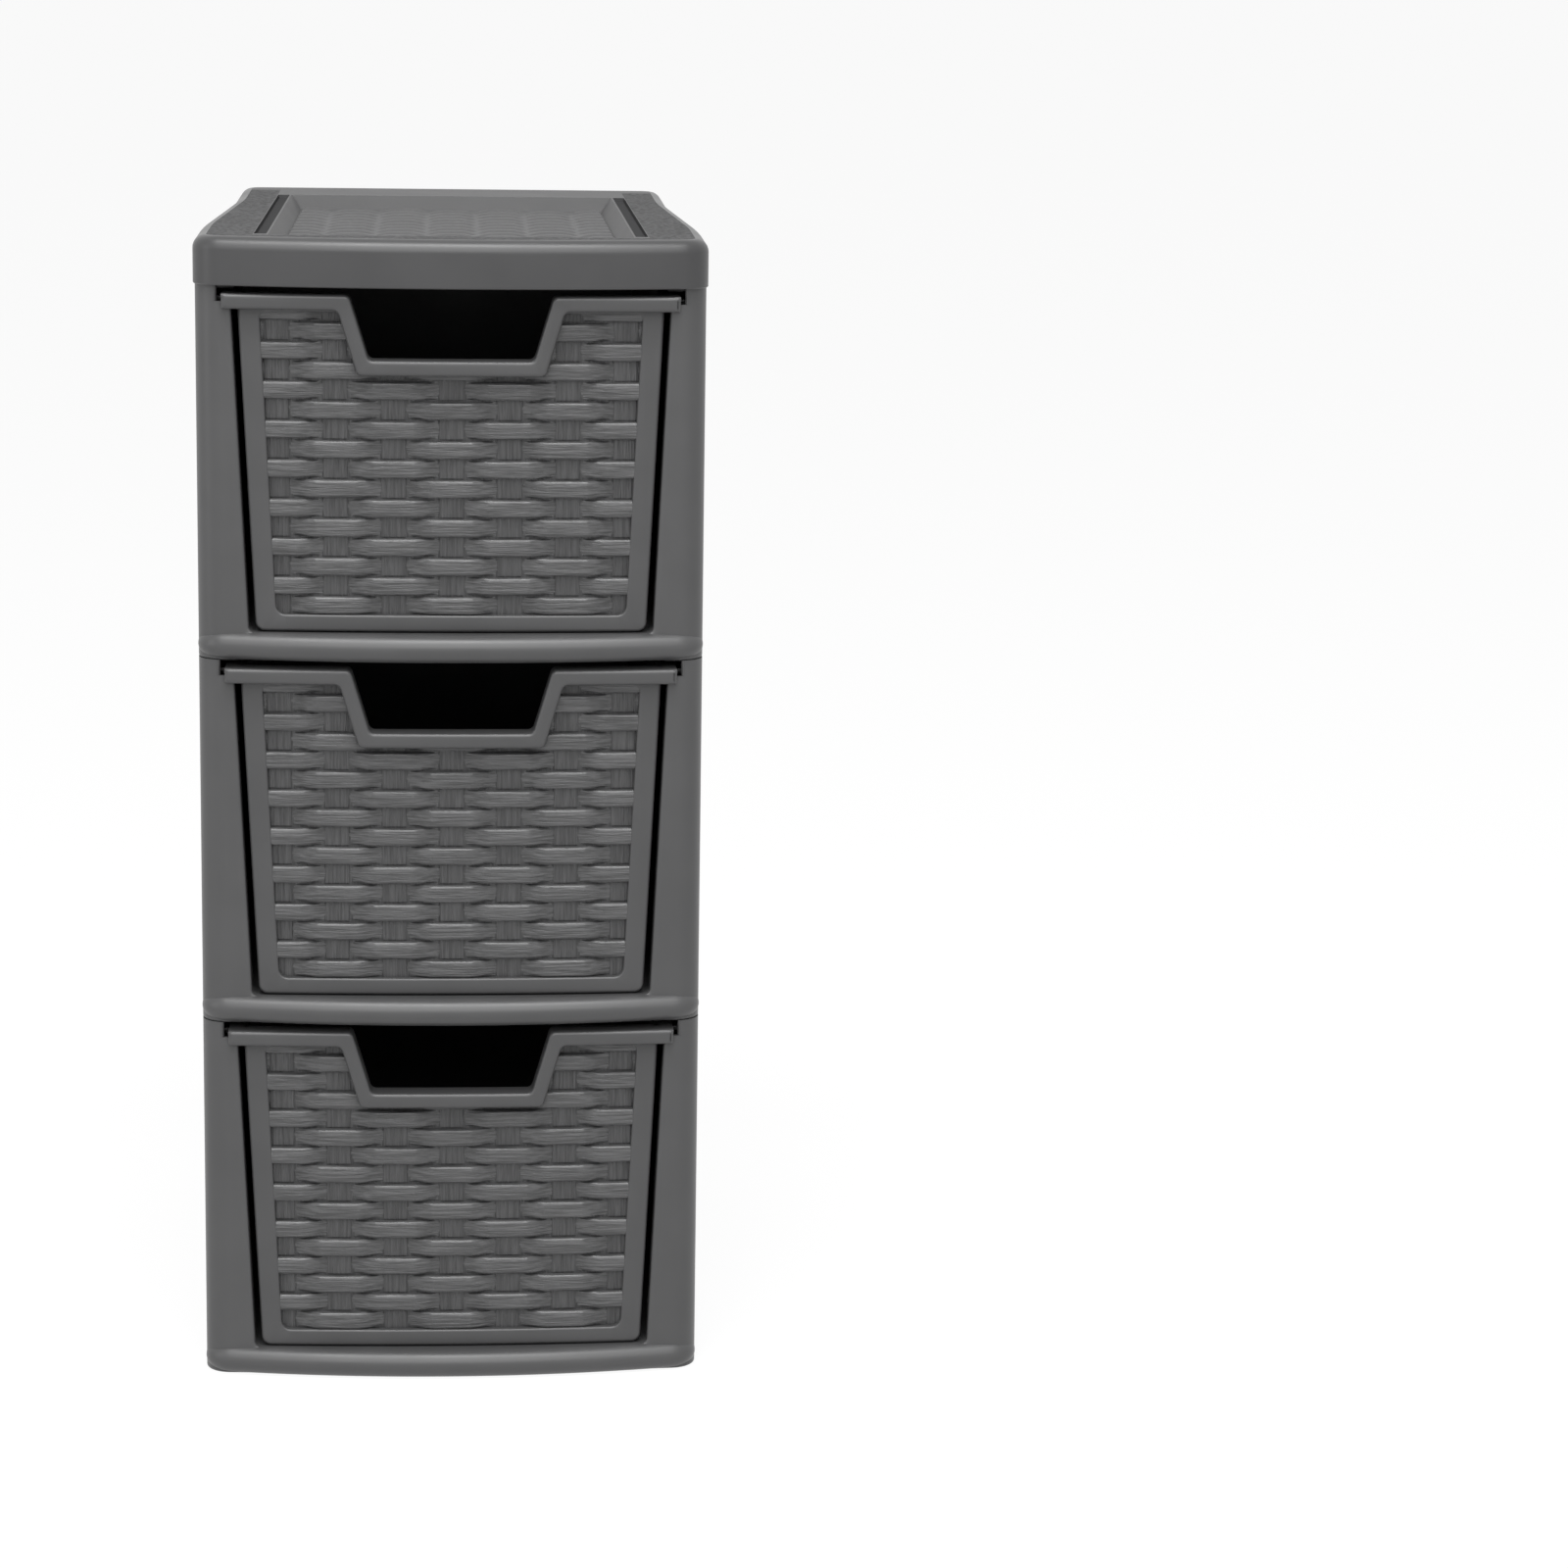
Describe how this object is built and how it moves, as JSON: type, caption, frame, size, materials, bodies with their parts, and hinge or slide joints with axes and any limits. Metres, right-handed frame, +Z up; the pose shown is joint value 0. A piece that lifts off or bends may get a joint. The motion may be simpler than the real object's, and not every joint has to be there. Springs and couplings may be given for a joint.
{
  "type": "plastic drawer tower",
  "caption": "Tall free-standing tower of stacked plastic housings with sliding basket-weave drawers, finger cut-outs in their rims and a shallow woven tray in the cover.",
  "frame": {"origin": "centre of the footprint, on the floor", "axes": "+Z up, the drawers open towards -Y, and +X is to the right as seen from the front"},
  "size_m": [0.2658, 0.3758, 0.61],
  "materials": {
    "cover_plastic": "satin, with pebbled bands round the tray",
    "case_plastic": "satin",
    "drawer_plastic": "satin, with a basket-weave front"
  },
  "bodies": {
    "tower": {"top_cover": "cover_plastic", "upper_housing": "case_plastic", "middle_housing": "case_plastic", "lower_housing": "case_plastic"},
    "top_drawer": {"upper_drawer": "drawer_plastic"},
    "centre_drawer": {"middle_drawer": "drawer_plastic"},
    "bottom_drawer": {"lower_drawer": "drawer_plastic"}
  },
  "joints": [
    {"name": "upper_drawer_slide", "type": "slide", "parent": "tower", "child": "top_drawer", "axis": [0, -1, 0], "range_m": [0, 0.291]},
    {"name": "middle_drawer_slide", "type": "slide", "parent": "tower", "child": "centre_drawer", "axis": [0, -1, 0], "range_m": [0, 0.291]},
    {"name": "lower_drawer_slide", "type": "slide", "parent": "tower", "child": "bottom_drawer", "axis": [0, -1, 0], "range_m": [0, 0.291]}
  ]
}
